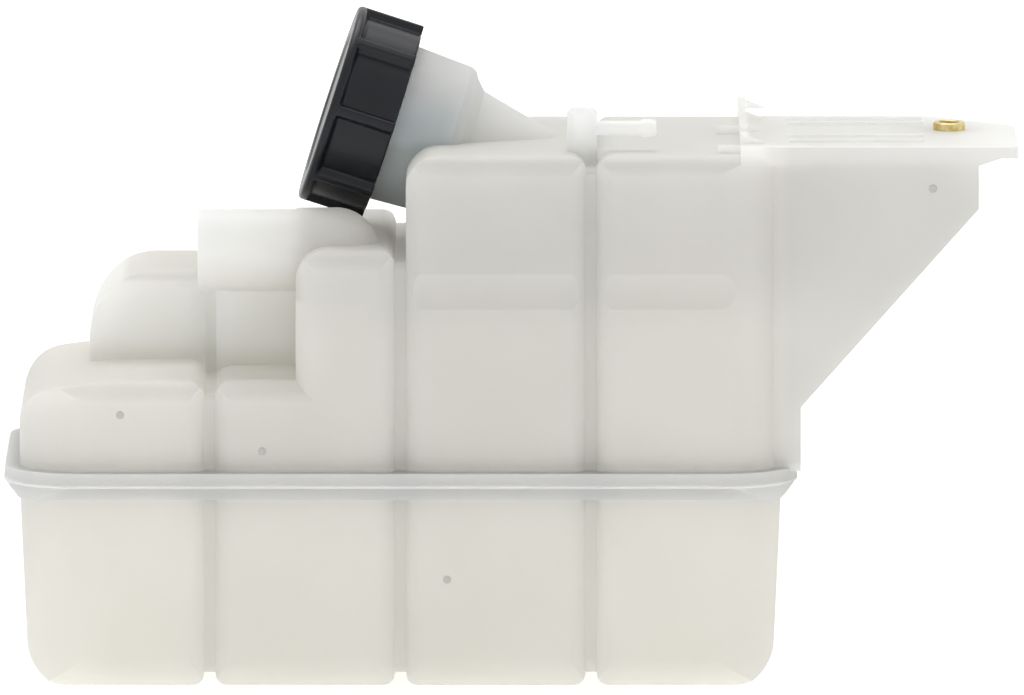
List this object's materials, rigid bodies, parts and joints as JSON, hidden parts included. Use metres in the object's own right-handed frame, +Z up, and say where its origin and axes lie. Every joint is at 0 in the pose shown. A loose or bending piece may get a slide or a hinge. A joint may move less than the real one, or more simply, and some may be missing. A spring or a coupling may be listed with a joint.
{
  "type": "coolant expansion tank",
  "caption": "Translucent moulded coolant expansion tank with pillow cells, a tilted filler neck under a black screw cap with pressure and vacuum valves, hose stubs and a mounting bracket.",
  "frame": {"origin": "under the middle of the whole tank's outline, on the plane of its feet", "axes": "+X along the row of cells towards the bracket, +Z up, -Y towards the side with the return stub and the level groove that the picture shows"},
  "size_m": [0.3146, 0.1466, 0.2066],
  "materials": {
    "shell_plastic": "natural polypropylene, milky and slightly translucent, satin",
    "cap_plastic": "black polypropylene, satin",
    "core_plastic": "dark glass-filled polyamide",
    "seal_rubber": "black rubber",
    "spring_steel": "stainless steel",
    "passivated_steel": "yellow-passivated zinc on steel"
  },
  "bodies": {
    "tank": {"lower_shell": "shell_plastic", "upper_shell": "shell_plastic", "mount_sleeve": "passivated_steel"},
    "insert": {"valve_housing": "core_plastic", "upper_o_ring": "seal_rubber", "lower_o_ring": "seal_rubber", "neck_gasket": "seal_rubber", "housing_cover": "core_plastic", "spring_retainer": "core_plastic", "pressure_spring": "spring_steel"},
    "cap": {"cap_shell": "cap_plastic", "cap_core": "core_plastic", "insert_snap_ring": "spring_steel"},
    "pressure_valve": {"pressure_valve_plate": "core_plastic", "pressure_valve_seal": "seal_rubber", "vacuum_spring": "spring_steel"},
    "vacuum_valve": {"vacuum_valve_stem": "spring_steel", "vacuum_valve_seal": "seal_rubber", "vacuum_spring_clip": "spring_steel"}
  },
  "joints": [
    {"name": "cap_lift", "type": "slide", "parent": "tank", "child": "insert", "axis": [-0.9511, 0, 0.309], "range_m": [0, 0.0101]},
    {"name": "cap_turn", "type": "hinge", "parent": "insert", "child": "cap", "pos_m": [-0.0095, -0.0127, 0.1618], "axis": [-0.9511, 0, 0.309], "range_deg": [0, 900]},
    {"name": "pressure_open", "type": "slide", "parent": "insert", "child": "pressure_valve", "axis": [-0.9511, 0, 0.309], "range_m": [0, 0.0024], "stiffness_N_per_m": 3000, "springref_m": -0.02, "deforming": ["pressure_spring"]},
    {"name": "vacuum_open", "type": "slide", "parent": "pressure_valve", "child": "vacuum_valve", "axis": [0.9511, 0, -0.309], "range_m": [0, 0.0014], "stiffness_N_per_m": 60, "springref_m": -0.004, "deforming": ["vacuum_spring"]}
  ],
  "couplings": [
    {"joint": "cap_lift", "follows": "cap_turn", "m_per_rad": 0.00063662}
  ]
}
